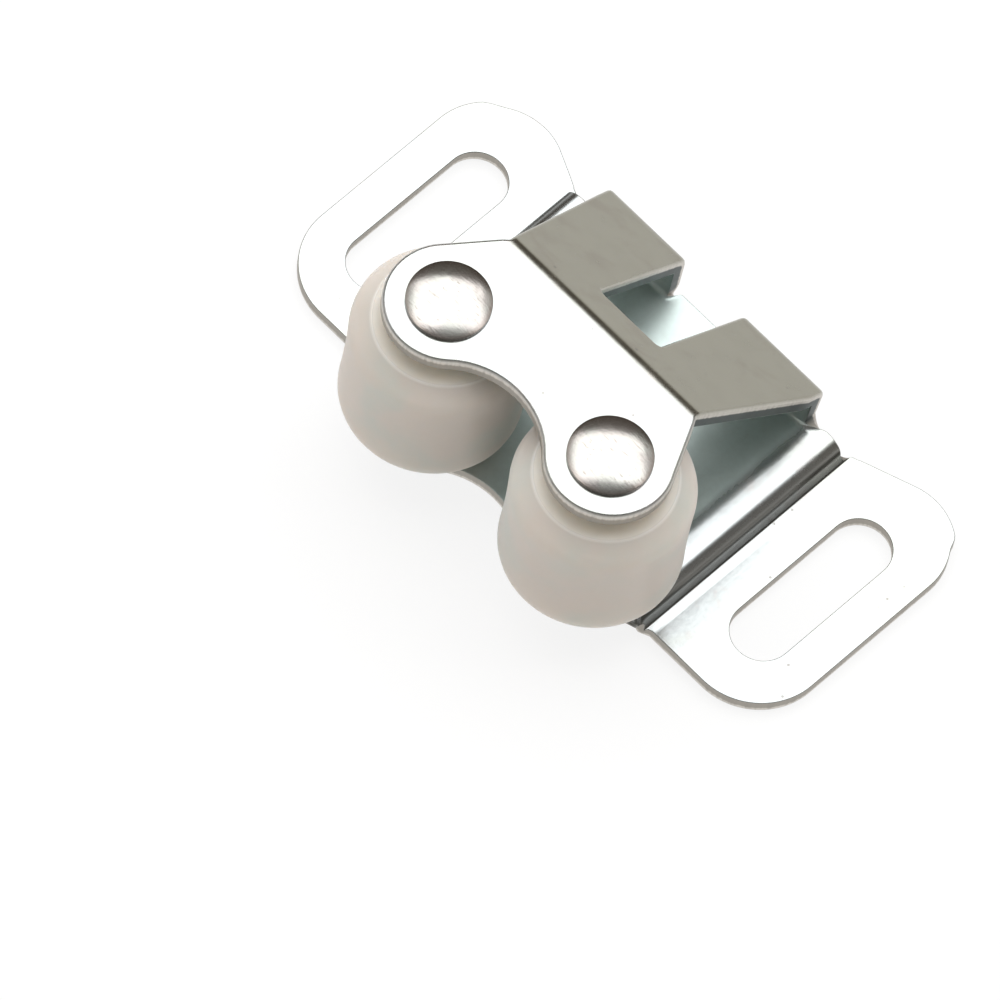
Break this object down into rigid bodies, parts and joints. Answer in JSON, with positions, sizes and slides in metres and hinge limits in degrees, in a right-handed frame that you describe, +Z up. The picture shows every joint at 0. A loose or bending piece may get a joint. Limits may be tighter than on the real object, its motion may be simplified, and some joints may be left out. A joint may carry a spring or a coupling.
{
  "type": "roller catch",
  "caption": "Cabinet door catch: a folded plated steel bracket with slotted ears holds nylon rollers side by side on rivets, to grip a strike pushed in between them.",
  "frame": {"origin": "on the surface the ears are screwed to, midway between the two slots", "axes": "+X along the row of rollers, from the left slot to the right slot; +Y from the rollers back to the fold, so a strike comes in along +Y; +Z up out of the mounting surface, along the rivets"},
  "size_m": [0.0494, 0.0295, 0.0215],
  "materials": {
    "zinc_plated_steel": "satin",
    "rivet_steel": "bright",
    "nylon": "satin"
  },
  "bodies": {
    "frame": {"catch_frame": "zinc_plated_steel", "rivet_left": "rivet_steel", "rivet_right": "rivet_steel"},
    "left_roller": {"roller_left": "nylon"},
    "right_roller": {"roller_right": "nylon"}
  },
  "joints": [
    {"name": "left_roller_spin", "type": "hinge", "parent": "frame", "child": "left_roller", "pos_m": [-0.008, -0.0114, 0], "axis": [0, 0, 1], "continuous": true},
    {"name": "right_roller_spin", "type": "hinge", "parent": "frame", "child": "right_roller", "pos_m": [0.008, -0.0114, 0], "axis": [0, 0, 1], "continuous": true}
  ]
}
